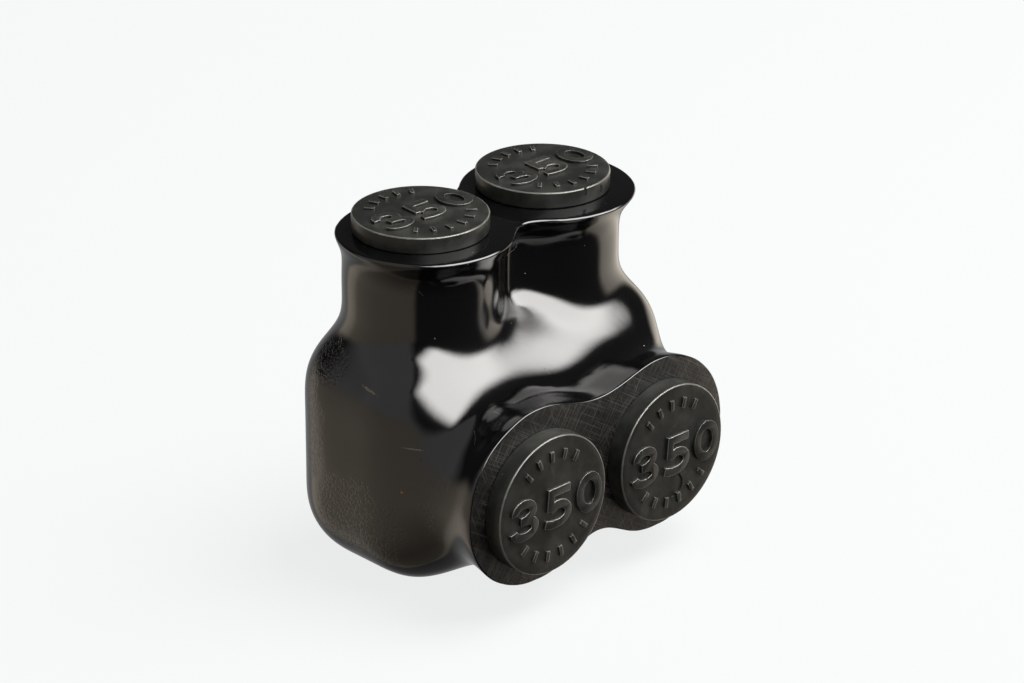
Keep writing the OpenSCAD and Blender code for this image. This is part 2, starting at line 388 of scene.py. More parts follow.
def even_edge(obj):
    """Evens the selected loop, and gives back what this takes off its curves."""
    shape = bmesh.from_edit_mesh(obj.data)
    loop = in_order([e for e in shape.edges if e.select])
    steps = np.linspace(-EDGE_REACH, EDGE_REACH, EDGE_TAKES)
    once = np.mean([shifted(np.array([v.co for v in loop]), s) for s in steps], axis=0)
    twice = np.mean([shifted(once, s) for s in steps], axis=0)
    for v, place in zip(loop, 2 * once - twice):
        v.co = place
    bmesh.update_edit_mesh(obj.data)


def inward_steps(edges, out):
    """Unit steps towards the inside of a flat loop, for each of its points."""
    loop = in_order(edges)
    p = np.array([v.co for v in loop])
    n = np.cross(shifted(p, RIM_SPAN) - shifted(p, -RIM_SPAN), out)
    n /= np.linalg.norm(n, axis=1)[:, None]
    if np.sum(n * (p.mean(0) - p)) < 0:
        n = -n
    return {place_key(v.co, out): Vector(n[i]) for i, v in enumerate(loop)}


def cover_holes():
    """Cutters for the entry holes, the access holes and the room for the block."""
    cutters = []
    for side in SIDES:
        port, screw = middle("port_plug_" + side), middle("screw_cap_" + side)
        depth = block_low.y - LIP_Y + 2 * OVERRUN
        hole = turned("entry_cutter", [(ENTRY_R, 0), (ENTRY_R, depth)], HOLE_SIDES)
        settle(hole, (port.x, LIP_Y - OVERRUN, port.z), (-QUARTER_TURN, 0, 0))
        cutters.append(hole)
        height = LIP_Z - block_high.z + 2 * OVERRUN
        hole = turned("access_cutter", [(ACCESS_R, 0), (ACCESS_R, height)], HOLE_SIDES)
        settle(hole, (screw.x, screw.y, block_high.z - OVERRUN))
        cutters.append(hole)
    bpy.ops.object.select_all(action="DESELECT")
    bpy.ops.mesh.primitive_cube_add(size=1, location=(block_low + block_high) / 2)
    room = bpy.context.object
    room.scale = block_high - block_low + Vector((1, 1, 1)) * ROOM_PLAY
    bpy.ops.object.transform_apply(location=True, rotation=True, scale=True)
    edit(room)
    pick(room, "EDGE", lambda e: abs(e.verts[0].co.z - e.verts[1].co.z) > MM)
    bpy.ops.mesh.bevel(offset=BLOCK_CORNER, segments=8)
    pick(room, "EDGE", lambda e: abs(e.verts[0].co.z - e.verts[1].co.z) < WELD)
    bpy.ops.mesh.bevel(offset=BLOCK_BEVEL, segments=1)
    done()
    cutters.append(room)
    return cutters


# ---------------------------------------------------------------- plugs

FACE_R = 12.35 * MM           # head of a port plug, which the figures are drawn for
HEAD_EDGE = 0.22 * MM         # rounding of the head's upper edge
HEAD_UNDER = 0.2 * MM         # bevel of its lower edge
RELIEF = 0.5 * MM             # height of the raised figures
SUNK = 0.3 * MM               # how far they reach down into the face
STROKE = 1.55 * MM            # width of a figure's stroke
FIGURE_EDGE = 0.13 * MM       # rounding of a figure's edges

STEM_PLAY = 0.5 * MM          # the stem is this much smaller in radius than its hole,
RIB_PLAY = 0.08 * MM          # and a rib on it this much
STEM_WALL = 1.6 * MM
STEM_BEVEL = 0.4 * MM         # at the stem's open end
STEM_HOLLOW = 0.8 * MM        # bevel at the closed end of its hollow
RIB_HALF = 0.6 * MM           # half height of a rib
RIB_ROUND = 0.15 * MM
RIBS_AT = (0.8, 0.4)          # places of the ribs as shares of the stem, lower first

EJECTOR_AT = (0.6 * MM, -6.4 * MM)
EJECTOR_R = 2.2 * MM
EJECTOR_DEEP = 0.25 * MM
NICK_R = 11.6 * MM            # how far out the nicks' cutters stand
# Nicks in the side of a cap: direction in degrees, lower and upper end, and depth
NICKS = ((-96, 1.5 * MM, 3.6 * MM, 0.4 * MM), (-76, 0.9 * MM, 2.3 * MM, 0.45 * MM))


def arc(cx, cy, rx, ry, start, end, count=20):
    """Points along part of an oval, angles in degrees."""
    return [(cx + rx * math.cos(math.radians(a)), cy + ry * math.sin(math.radians(a)))
            for a in np.linspace(start, end, count)]


# Middle lines of the strokes of the figures 3, 5 and 0, in millimetres from the
# middle of a port plug's face. Each is (points, closed).
FIGURES = {
    "three": [
        (arc(-7.15, 1.25, 2.05, 1.45, 186, -62, 26)
         + [(-6.9, -0.33), (-7.9, -0.38)], False),
        ([(-7.9, -0.38), (-6.9, -0.36)]
         + arc(-7.05, -1.85, 2.45, 1.45, 62, -176, 26), False),
    ],
    "five": [
        ([(3.55, 2.5), (-0.75, 2.5), (-1.05, -0.9)], False),
        ([(-1.0, -0.75), (-0.4, -0.35)]
         + arc(0.75, -1.65, 2.35, 1.75, 100, -98, 26)
         + [(-0.6, -3.38), (-2.2, -2.95)], False),
    ],
    "nought": [
        (arc(8.05, -0.2, 2.2, 2.95, 0, 360, 41)[:-1], True),
    ],
}


def ribbon(points, closed, width):
    """Outline, or two outlines, of a flat band along a middle line."""
    p = np.array(points, float)
    if closed:
        ahead, behind = np.roll(p, -1, 0) - p, p - np.roll(p, 1, 0)
    else:
        seg = np.diff(p, axis=0)
        ahead, behind = np.vstack([seg, seg[-1:]]), np.vstack([seg[:1], seg])
    ahead /= np.linalg.norm(ahead, axis=1)[:, None]
    behind /= np.linalg.norm(behind, axis=1)[:, None]
    both = ahead + behind
    both /= np.linalg.norm(both, axis=1)[:, None]
    across = np.stack([-both[:, 1], both[:, 0]], -1)
    reach = np.sum(np.stack([-ahead[:, 1], ahead[:, 0]], -1) * across, 1)
    side = across * (width / 2 / np.maximum(reach, 0.5))[:, None]
    if closed:
        return [p + side, p - side]
    return [np.vstack([p + side, (p - side)[::-1]])]


def slab(outlines, low, high):
    """A flat plate between two heights with the given outlines."""
    bpy.ops.object.select_all(action="DESELECT")
    curve = bpy.data.curves.new("outline", "CURVE")
    curve.dimensions = "2D"
    curve.fill_mode = "BOTH"
    curve.extrude = (high - low) / 2
    for outline in outlines:
        spline = curve.splines.new("POLY")
        spline.points.add(len(outline) - 1)
        spline.points.foreach_set(
            "co", [c for x, y in outline for c in (x, y, 0, 1)])
        spline.use_cyclic_u = True
    obj = bpy.data.objects.new("outline", curve)
    bpy.context.scene.collection.objects.link(obj)
    alone(obj)
    bpy.ops.object.convert(target="MESH")
    obj = bpy.context.object
    # The second material is the pale one that paints a highlight on the edges
    for mat in (PLASTIC, EDGE_HIGHLIGHT):
        obj.data.materials.append(mat)
    edit(obj)
    bpy.ops.mesh.select_all(action="SELECT")
    bpy.ops.mesh.remove_doubles(threshold=1e-7)
    bpy.ops.mesh.normals_make_consistent(inside=False)
    done()
    return settle(obj, (0, 0, (low + high) / 2))


def joined(objs, name):
    """Makes one object of several."""
    alone(objs[0])
    for o in objs:
        o.select_set(True)
    bpy.ops.object.join()
    objs[0].name = name
    return objs[0]


def merge_flat(obj):
    """Makes one face of each flat side, for a figure without a hole."""
    edit(obj)
    bpy.ops.mesh.select_all(action="SELECT")
    bpy.ops.mesh.dissolve_limited(angle_limit=math.radians(1))
    done()


def softened(obj, width, segments=3):
    """Rounds the sharp edges of a raised figure or mark, in the pale material that paints a
    highlight on them.
    """
    apply(obj, "BEVEL", width=width, segments=segments, limit_method="ANGLE",
          angle_limit=math.radians(50), use_clamp_overlap=True, material=1)


def figures(scale):
    """The raised figures of a plug's face, face at height 0."""
    made = []
    for name, strokes in FIGURES.items():
        solids = [slab([o * MM * scale for o in ribbon(points, closed, STROKE / MM)],
                       -SUNK, RELIEF) for points, closed in strokes]
        body = solids[0]
        for other in solids[1:]:
            apply(body, "BOOLEAN", operation="UNION", object=other, solver="EXACT")
            bpy.data.objects.remove(other)
        # A ring keeps its triangles, because its face has no single outline
        if not strokes[0][1]:
            merge_flat(body)
        softened(body, FIGURE_EDGE * scale)
        made.append(body)
    return made


# Directions, in degrees, of the plain marks round the face, which stand where such
# a plug has small lettering
UPPER_MARKS = np.linspace(130, 57, 5)
LOWER_MARKS = np.linspace(222, 320, 6)
MARK_R = 9.1                  # mid radius, length and width of a mark, in millimetres
MARK_L = 1.9
MARK_W = 0.75
MARK_UP = 0.4 * MM            # height of a mark over the face
MARK_EDGE = 0.1 * MM


def marks(scale):
    """The raised marks of a plug's face, face at height 0."""
    made = []
    for angle in (*UPPER_MARKS, *LOWER_MARKS):
        a = math.radians(angle)
        out = np.array([math.cos(a), math.sin(a)])
        line = [out * (MARK_R - MARK_L / 2), out * (MARK_R + MARK_L / 2)]
        mark = slab([o * MM * scale for o in ribbon(line, False, MARK_W)],
                    -SUNK, MARK_UP)
        merge_flat(mark)
        softened(mark, MARK_EDGE, 2)
        made.append(mark)
    return made


def plug(name, head_r, head_t, hole_r, stem_l, scale):
    """A plug that stands head up with the lip at height 0: a flat head with a
    rounded edge, and a hollow stem with two retaining ribs."""
    stem_r = hole_r - STEM_PLAY
    rib_r = hole_r - RIB_PLAY
    outside = [(stem_r - STEM_BEVEL, -stem_l), (stem_r, -stem_l + STEM_BEVEL)]
    # Each rib swells in steps that are shares of its half height
    for share in RIBS_AT:
        z = -stem_l * share
        outside += [(stem_r, z - RIB_HALF), (rib_r - RIB_ROUND, z - RIB_HALF * 0.75),
                    (rib_r, z - RIB_HALF * 0.2), (rib_r, z + RIB_HALF * 0.2),
                    (rib_r - RIB_ROUND, z + RIB_HALF * 0.75), (stem_r, z + RIB_HALF)]
    head = [(stem_r, 0), (head_r - HEAD_UNDER, 0), (head_r, HEAD_UNDER)]
    # The first and last rings lie in flat faces and only divide them
    inner = stem_r - STEM_WALL
    rings = [(inner * 0.3, 0), (inner - STEM_HOLLOW, 0), (inner, -STEM_HOLLOW),
             (inner, -stem_l)]
    rings += outside + head + rounded(head_r, head_t, HEAD_EDGE)
    rings += [(head_r * 0.9, head_t)]
    body = turned(name, rings)
    for mat in (PLASTIC, EDGE_HIGHLIGHT):
        body.data.materials.append(mat)
    # The head's rounded upper edge takes the second, pale material: a painted highlight
    # along its rim
    for face in body.data.polygons:
        face.material_index = int(face.center.z > head_t - HEAD_EDGE
                                  and face.normal.z < FACING)
    top = joined(figures(scale) + marks(scale), name + "_figures")
    return body, settle(top, (0, 0, head_t))


def twin(obj, name):
    """A copy of a finished shape, with a mesh of its own."""
    copy = obj.copy()
    copy.data = obj.data.copy()
    copy.name = name
    bpy.context.scene.collection.objects.link(copy)
    return copy


def plug_pair(kind, hole_r, out):
    """Both plugs of a kind, head up at the origin: one modelled and one copied."""
    low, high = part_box(kind + "_left")
    head_r = (high.x - low.x) / 2
    if out.z:
        above, below = high.z - LIP_Z, LIP_Z - low.z
    else:
        above, below = LIP_Y - low.y, high.y - LIP_Y
    left = plug("moulded_" + kind + "_left", head_r, above - RELIEF, hole_r, below,
                head_r / FACE_R)
    right = [twin(part, part.name.replace("left", "right")) for part in left]
    return left, right, above - RELIEF


def plugs():
    """All four plugs in their places, the right-hand ones with their marks of use."""
    up, front = Vector((0, 0, 1)), Vector((0, -1, 0))
    port_left, port_right, face = plug_pair("port_plug", ENTRY_R, front)
    # The round mark of an ejector pin under the figures of the right-hand plug
    pin = turned("ejector_cutter", [(EJECTOR_R, 0), (EJECTOR_R, MM)], 48)
    cut_away(port_right[0], settle(pin, (*EJECTOR_AT, face - EJECTOR_DEEP)))
    cap_left, cap_right, face = plug_pair("screw_cap", ACCESS_R, up)
    # The torn nick in the side of the right-hand cap, narrower at its top
    for angle, low, high, deep in NICKS:
        wedge = turned("nick_cutter", [(deep, low), (deep * 0.6, high)], 5)
        a = math.radians(angle)
        settle(wedge, (NICK_R * math.cos(a), NICK_R * math.sin(a), 0))
        cut_away(cap_right[0], wedge)
    made = []
    for parts, node in ((port_left, "port_plug_left"), (port_right, "port_plug_right"),
                        (cap_left, "screw_cap_left"), (cap_right, "screw_cap_right")):
        mid = middle(node)
        obj = joined(parts, parts[0].name)
        if node.startswith("port"):
            settle(obj, (mid.x, LIP_Y, mid.z), (QUARTER_TURN, 0, 0))
        else:
            settle(obj, (mid.x, mid.y, LIP_Z))
        made.append((obj, node))
    return made


# ---------------------------------------------------------------- colours and node helper

def colour(code):
    """Linear colour of an sRGB hex code."""
    parts = [int(code[i:i + 2], 16) / 255 for i in (1, 3, 5)]
    return (*[c / 12.92 if c <= 0.04045 else ((c + 0.055) / 1.055) ** 2.4
              for c in parts], 1)


def add(tree, kind, settings=None, **links):
    """Adds a node. Settings are its own properties. Links are its inputs, each a
    value, another node's output, or a node, which stands for its first output.
    A name such as in_0 picks an input by its place."""
    node = tree.nodes.new("ShaderNode" + kind)
    for name, value in (settings or {}).items():
        setattr(node, name, value)
    for name, value in links.items():
        key = int(name[3:]) if name.startswith("in_") else name.replace("_", " ")
        if isinstance(value, bpy.types.Node):
            value = value.outputs[0]
        if isinstance(value, bpy.types.NodeSocket):
            tree.links.new(value, node.inputs[key])
        else:
            node.inputs[key].default_value = value
    return node


PLUS = {"operation": "ADD"}
TIMES = {"operation": "MULTIPLY"}
GREATER = {"operation": "MAXIMUM"}
SOFT_STEP = {"interpolation_type": "SMOOTHSTEP"}
AS_COLOUR = {"data_type": "RGBA"}
AS_TEXTURE = {"vector_type": "TEXTURE"}
SPHERE = {"gradient_type": "SPHERICAL"}


def material(name):
    """A new material and its empty node tree."""
    made = bpy.data.materials.new(name)
    made.use_nodes = True
    made.node_tree.nodes.clear()
    return made, made.node_tree


def spot(tree, place, at, turn, size):
    """1 in the middle of an ellipsoid patch, falling to 0 at its edge.

    Place and half sizes are in millimetres, the turn in degrees."""
    local = add(tree, "Mapping", AS_TEXTURE, Vector=place,
                Location=[c * MM for c in at], Rotation=[math.radians(c) for c in turn],
                Scale=[c * MM for c in size])
    return add(tree, "TexGradient", SPHERE, Vector=local).outputs["Fac"]


def spots(tree, place, patches):
    """The greatest of several such patches."""
    most = 0.0
    for at, turn, size in patches:
        most = add(tree, "Math", GREATER, in_0=most, in_1=spot(tree, place, at, turn, size))
    return most


def dust(tree, place, apart, size):
    """Sparse round specks: their mean distance, and the size of the largest as a
    share of it."""
    cells = add(tree, "TexVoronoi", Vector=place, Scale=1 / apart)
    chance = add(tree, "SeparateColor", Color=cells.outputs["Color"])
    kept = add(tree, "MapRange", Value=chance, From_Min=0.55, From_Max=1.0, To_Max=size)
    return add(tree, "Math", {"operation": "LESS_THAN"}, in_0=cells, in_1=kept)


def painted(tree, base, layers):
    """A colour with others laid over it, each by its own share."""
    for share, code in layers:
        base = add(tree, "Mix", AS_COLOUR, in_0=share, in_6=base,
                   in_7=colour(code)).outputs[2]
    return base


# ---------------------------------------------------------------- materials
# Each pattern's scale comes from the real size of what it draws.

# Where the gelled skin came out pitted: middle, turn and half sizes
PITTED = (((-30, 13.3, 38.3), (0, 0, 0), (7, 7, 6)),
          ((-32, 17, 27), (0, 0, 0), (4, 6, 16)),
          ((-32.5, 4, 13), (0, 0, 0), (7, 17, 12)),
          ((-28.5, -10, 22), (0, 0, 0), (4, 5, 11)),
          ((30, 18, 12), (0, 0, 0), (7, 9, 12)),
          ((-8, 24.7, 10), (0, 0, 0), (22, 5, 9)))
# A pale scuff on the left shoulder, a stray fibre and a rust-coloured speck
SCUFF = ((-30.75, 2.6, 36.75), (9, 0, 0), (1.0, 2.9, 0.35))
FIBRE = ((-29.7, -6.7, 28.7), (0, 0, -61.6), (2.2, 1.0, 0.13))
RUST = ((-31.1, -5.5, 20.8), (0, 0, 0), (0.5, 0.3, 0.3))

WAVE = 7.14 * MM              # waves of the dipped skin
RIPPLE = 1.11 * MM            # its orange peel
PIT = 0.526 * MM              # pits where it gelled badly
PATCH_EDGE = 5.56 * MM        # lobes of a pitted patch's ragged edge
FIBRE_APART = 11.76 * MM      # fibres that cling to it,
FIBRE_RUN = 6.25 * MM         # and how far one runs
VINYL_DUST = 3.03 * MM        # distance between specks
FILM = 22.2 * MM              # patches of dry film


def dipped_vinyl():
    """PVC plastisol, gelled on a dipped former: a wet-looking black gloss, with soft
    waves that bend reflections, orange peel, pitted patches, dust and a scuff."""
    mat, t = material("dip_moulded_black_pvc")
    place = add(t, "TexCoord").outputs["Object"]
    waves = add(t, "TexNoise", Vector=place, Scale=1 / WAVE, Detail=1.0)
    peel = add(t, "TexNoise", Vector=place, Scale=1 / RIPPLE, Detail=2.0)
    # Pits, in patches with a ragged edge
    grain = add(t, "TexNoise", Vector=place, Scale=1 / PIT, Detail=2.0, Distortion=0.5)
    pits = add(t, "MapRange", Value=grain, From_Min=0.36, From_Max=0.52)
    ragged = add(t, "TexNoise", Vector=place, Scale=1 / PATCH_EDGE, Detail=3.0)
    lobes = add(t, "MapRange", Value=ragged, From_Min=0.3, From_Max=0.7, To_Min=-0.35,
                To_Max=0.15)
    edge = add(t, "Math", PLUS, in_0=spots(t, place, PITTED), in_1=lobes)
    pitted = add(t, "MapRange", Value=edge, From_Min=0.12, From_Max=0.34)
    wavy = add(t, "Bump", Strength=0.06, Distance=0.3 * MM, Height=waves)
    peeled = add(t, "Bump", Strength=0.035, Distance=0.15 * MM, Height=peel, Normal=wavy)
    bump = add(t, "Bump", Strength=add(t, "Math", TIMES, in_0=pitted, in_1=0.35),
               Distance=0.1 * MM, Height=pits, Normal=peeled)
    # Dust, and short fibres: thin lines of a noise, kept only here and there
    specks = dust(t, place, VINYL_DUST, 0.05)
    strand = add(t, "TexNoise", Vector=place, Scale=1 / FIBRE_APART, Detail=0.0,
                 Distortion=0.4)
    line = add(t, "Math", {"operation": "COMPARE"}, in_0=strand, in_1=0.5, in_2=0.0011)
    run = add(t, "TexNoise", Vector=place, Scale=1 / FIBRE_RUN, Detail=0.0)
    short = add(t, "MapRange", Value=run, From_Min=0.73, From_Max=0.74)
    stray = add(t, "MapRange", Value=spot(t, place, *FIBRE), From_Min=0.05, From_Max=0.2)
    fibres = add(t, "Math", GREATER, in_0=add(t, "Math", TIMES, in_0=line, in_1=short),
                 in_1=stray)
    # The scuff, broken up by the grain
    rub = add(t, "MapRange", Value=spot(t, place, *SCUFF), From_Min=0.1, From_Max=0.5)
    broken = add(t, "MapRange", Value=grain, From_Min=0.35, From_Max=0.6)
    scuff = add(t, "Math", TIMES, in_0=rub, in_1=broken)
    rust = add(t, "MapRange", Value=spot(t, place, *RUST), From_Min=0.05, From_Max=0.3)
    paint = painted(t, colour("#0b0b0c"), (
        (specks, "#a59c8b"),
        (add(t, "Math", TIMES, in_0=fibres, in_1=0.35), "#80705a"),
        (rust, "#b9713c"),
        (add(t, "Math", TIMES, in_0=scuff, in_1=0.8), "#8b7d6c")))
    # A dry film in places, so that the gloss isn't the same everywhere. What lies
    # on the skin is dull.
    film = add(t, "TexNoise", Vector=place, Scale=1 / FILM, Detail=4.0)
    gloss = add(t, "MapRange", Value=film, From_Min=0.35, From_Max=0.7, To_Min=0.08,
                To_Max=0.17)
    loose = add(t, "Math", GREATER, in_0=add(t, "Math", GREATER, in_0=specks, in_1=fibres),
                in_1=scuff)
    dull = add(t, "Math", TIMES, in_0=loose, in_1=0.8)
    skin = add(t, "BsdfPrincipled", Base_Color=paint, IOR=1.54, Normal=bump,
               Roughness=add(t, "Math", GREATER, in_0=gloss, in_1=dull))
    add(t, "OutputMaterial", Surface=skin)
    return mat


# Saw scratches: direction in degrees, length and width, and the range of the noise
# that becomes a scratch. They are drawn wider than real ones, so that they show.
SCRATCHES = ((32, 12.5 * MM, 0.192 * MM, 0.53, 0.72),
             (-58, 10.0 * MM, 0.204 * MM, 0.56, 0.74),
             (-40, 7.14 * MM, 0.179 * MM, 0.6, 0.76),
             (70, 8.33 * MM, 0.2 * MM, 0.6, 0.76))
WEAR = 3.85 * MM              # patches where the scratches are fainter
SAWN_DUST = 3.125 * MM


def sawn_vinyl():
    """The same PVC where a saw cut it through: flat and half dull, with fine pale
    scratches that cross each other."""
    mat, t = material("sawn_black_pvc")
    place = add(t, "TexCoord").outputs["Object"]
    scratches = 0.0
    for turn, length, width, low, high in SCRATCHES:
        lay = add(t, "Mapping", AS_TEXTURE, Vector=place,
                  Rotation=(0, math.radians(turn), 0), Scale=(length, 1, width))
        streak = add(t, "TexNoise", Vector=lay, Scale=1.0, Detail=1.0)
        cut = add(t, "MapRange", Value=streak, From_Min=low, From_Max=high)
        scratches = add(t, "Math", GREATER, in_0=scratches, in_1=cut)
    wear = add(t, "TexNoise", Vector=place, Scale=1 / WEAR, Detail=3.0)
    fade = add(t, "MapRange", Value=wear, From_Min=0.3, From_Max=0.65, To_Min=0.25)
    paint = painted(t, colour("#101010"), (
        (add(t, "Math", TIMES, in_0=scratches, in_1=fade), "#68645c"),
        (dust(t, place, SAWN_DUST, 0.06), "#b9b4a8")))
    bump = add(t, "Bump", Strength=0.3, Distance=0.05 * MM, Height=scratches)
    skin = add(t, "BsdfPrincipled", Base_Color=paint, Roughness=0.36, IOR=1.54,
               Specular_IOR_Level=0.28, Normal=bump)
    add(t, "OutputMaterial", Surface=skin)
    return mat


# Rubbed places on the plugs: middle, turn, half sizes
RUBBED = (((-14.6, -24.3, 26.0), (0, -20, 0), (0.35, 1, 2.2)),
          ((-14.6, -24.3, 17.0), (0, 30, 0), (4.0, 1, 2.5)),
          ((-12.4, -24.3, 16.6), (0, -25, 0), (0.4, 1, 3.2)),
          ((14.3, -24.3, 24.2), (0, 60, 0), (0.4, 1, 2.0)),
          ((17.5, -24.3, 15.0), (0, -30, 0), (0.35, 1, 2.6)),
          ((14.5, -24.3, 16.5), (0, 20, 0), (4.5, 1, 3.0)),
          ((15.0, 8.0, 62.5), (0, 0, 30), (6.0, 4.0, 1)),
          ((-14.0, 6.0, 62.5), (0, 0, -20), (5.0, 4.0, 1)))
MOULD_GRAIN = 0.625 * MM      # texture of the mould, drawn coarse enough to show
CLOUD = 4.35 * MM             # cloudy patches
PLUG_DUST = 3.85 * MM


def plug_plastic(name, clean, cloudy, dull, sheen):
    """Injection-moulded polyethylene: a satin black with the mould's fine grain,
    clouded where it was handled and paler where it was rubbed."""
    mat, t = material(name)
    place = add(t, "TexCoord").outputs["Object"]
    grain = add(t, "TexNoise", Vector=place, Scale=1 / MOULD_GRAIN, Detail=3.0)
    cloud = add(t, "TexNoise", Vector=place, Scale=1 / CLOUD, Detail=5.0, Roughness=0.6)
    clouds = add(t, "MapRange", Value=cloud, From_Min=0.42, From_Max=0.72)
    rubbed = add(t, "MapRange", Value=spots(t, place, RUBBED), From_Min=0.05,
                 From_Max=0.7)
    broken = add(t, "MapRange", Value=grain, From_Min=0.4, From_Max=0.6, To_Min=0.3)
    worn = add(t, "Math", TIMES, in_0=rubbed, in_1=broken)
    paint = painted(t, colour(clean), (
        (clouds, cloudy),
        (add(t, "Math", TIMES, in_0=worn, in_1=0.45), "#56544f"),
        (dust(t, place, PLUG_DUST, 0.05), "#8d877b")))
    bump = add(t, "Bump", Strength=0.25, Distance=0.06 * MM, Height=grain)
    haze = add(t, "Math", TIMES, in_0=clouds, in_1=0.12)
    skin = add(t, "BsdfPrincipled", Base_Color=paint, IOR=1.5, Specular_IOR_Level=sheen,
               Roughness=add(t, "Math", PLUS, in_0=haze, in_1=dull), Normal=bump)
    add(t, "OutputMaterial", Surface=skin)
    return mat


STREAK_L = 8.33 * MM          # length of a tool mark, drawn coarse enough to show,
STREAK_W = 0.385 * MM         # and its height


def metal(name, code, rough):
    """Aluminium, plated or bare, as turning and sawing leave it: a grey satin with
    fine level streaks, which spread its reflections up and down."""
    mat, t = material(name)
    place = add(t, "TexCoord").outputs["Object"]
    lay = add(t, "Mapping", Vector=place, Scale=(1 / STREAK_L, 1 / STREAK_L, 1 / STREAK_W))
    streak = add(t, "TexNoise", Vector=lay, Scale=1.0, Detail=2.0)
    bump = add(t, "Bump", Strength=0.15, Distance=0.05 * MM, Height=streak)
    dull = add(t, "MapRange", Value=streak, From_Min=0.3, From_Max=0.7,
               To_Min=rough - 0.06, To_Max=rough + 0.08)
    skin = add(t, "BsdfPrincipled", Base_Color=colour(code), Metallic=1.0, Roughness=dull,
               Normal=bump)
    add(t, "OutputMaterial", Surface=skin)
    return mat


# ---------------------------------------------------------------- build

PVC = dipped_vinyl()
SAWN = sawn_vinyl()
PLASTIC = plug_plastic("moulded_black_polyethylene", clean="#2b2c29", cloudy="#3f403c",
                       dull=0.3, sheen=0.25)
# A pale colour on the raised edges and the heads' rims paints a thin highlight line round
# each figure. These edges are also smoother and glossier.
EDGE_HIGHLIGHT = plug_plastic("moulded_black_polyethylene_worn_edges", clean="#7c7b74",
                    cloudy="#96948b", dull=0.2, sheen=0.6)
ALUMINIUM = metal("tin_plated_aluminium", "#c9cbca", 0.35)
SCREW_METAL = metal("machined_aluminium", "#b9bbbc", 0.3)

cover = dipped_cover()
cover.data.materials.clear()
cover.data.materials.append(PVC)
cover.data.materials.append(SAWN)
for face in cover.data.polygons:
    face.material_index = int(face.center.y < LIP_Y + NEAR / 10
                              and face.normal.y < -FACING)
    face.use_smooth = True
alone(cover)
bpy.ops.object.shade_smooth_by_angle(angle=SHARP)
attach(cover, "connector")
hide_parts("insulating_cover")

for obj, node in plugs():
    alone(obj)
    bpy.ops.object.shade_smooth_by_angle(angle=SHARP)
    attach(obj, node)
    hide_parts(node)

for node, mat in (("terminal_block", ALUMINIUM), ("set_screw_left", SCREW_METAL),
                  ("set_screw_right", SCREW_METAL)):
    data = frame["nodes"][node].data
    data.materials.clear()
    data.materials.append(mat)

# ---------------------------------------------------------------- camera

CAMERA_ROUND = -44.465        # degrees from the front, to the right
CAMERA_UP = 24.424            # degrees
CAMERA_ROLL = 0.425           # degrees
CAMERA_AWAY = 0.6224          # metres
CAMERA_AIM = Vector((-3.73, -3.44, 39.05)) * MM
CAMERA_LENS = 129.68          # millimetres, on a sensor 36 mm wide
CAMERA_SENSOR = 36


def direction(azimuth, elevation):
    """Unit vector from the object, in radians: 0, 0 is straight out of the front."""
    return Vector((math.sin(azimuth) * math.cos(elevation),
                   -math.cos(azimuth) * math.cos(elevation), math.sin(elevation)))


azimuth, elevation, roll = (
    math.radians(a) for a in (CAMERA_ROUND, CAMERA_UP, CAMERA_ROLL))
back = direction(azimuth, elevation)
level = Vector((math.cos(azimuth), math.sin(azimuth), 0))
rise = back.cross(level)
right = level * math.cos(roll) + rise * math.sin(roll)
up = rise * math.cos(roll) - level * math.sin(roll)
camera = bpy.data.objects.new("camera", bpy.data.cameras.new("camera"))
bpy.context.scene.collection.objects.link(camera)
camera.matrix_world = Matrix.Translation(CAMERA_AIM + back * CAMERA_AWAY) @ Matrix(
    (right, up, back)).transposed().to_4x4()
camera.data.lens = CAMERA_LENS
camera.data.sensor_width = CAMERA_SENSOR
camera.data.clip_start = 0.05
camera.data.clip_end = 50
bpy.context.scene.camera = camera

# ---------------------------------------------------------------- studio

WHITE = colour("#f6f8f7")
FLOOR_SIZE = 8                # metres
FLOOR_GLOW = 1.04             # brings the lit floor level with the backdrop
FLOOR_SHARE = 0.84            # of the glow, against the paper with the shadow
LAMP_AT = (0.35, -0.25, 0.85)
LAMP_SIZE = 0.7               # metres
LAMP_POWER = 10.0             # watts


def glossy_card(name, azimuth, elevation, distance, width, height, strength):
    """A card that only reflections see. Angles in degrees, sizes in metres."""
    way = direction(math.radians(azimuth), math.radians(elevation))
    bpy.ops.object.select_all(action="DESELECT")
    bpy.ops.mesh.primitive_plane_add(size=1)
    card = bpy.context.object
    card.name = name
    card.scale = (width, height, 1)
    card.rotation_mode = "QUATERNION"
    card.rotation_quaternion = way.to_track_quat("Z", "Y")
    card.location = way * distance + Vector((0, 0, 0.03))
    mat, t = material(name)
    # Brightest in the middle and soft at its edges, as a diffused softbox is
    place = add(t, "SeparateXYZ", Vector=add(t, "TexCoord").outputs["Object"])
    bright = strength
    for axis in ("X", "Y"):
        off = add(t, "Math", {"operation": "ABSOLUTE"}, in_0=place.outputs[axis])
        fall = add(t, "MapRange", SOFT_STEP, Value=off, From_Min=0.5, From_Max=0.2)
        bright = add(t, "Math", TIMES, in_0=bright, in_1=fall)
    glow = add(t, "Emission", Color=(1, 0.985, 0.96, 1), Strength=bright)
    add(t, "OutputMaterial", Surface=glow)
    card.data.materials.append(mat)
    card.visible_camera = card.visible_diffuse = card.visible_shadow = False
    card.visible_transmission = False


glossy_card("softbox_reflection", azimuth=12, elevation=41, distance=0.6, width=1.45,
            height=0.74, strength=15)

bpy.ops.object.select_all(action="DESELECT")
bpy.ops.mesh.primitive_plane_add(size=FLOOR_SIZE)
floor = bpy.context.object
floor.name = "studio_floor"
floor.visible_glossy = floor.visible_diffuse = False
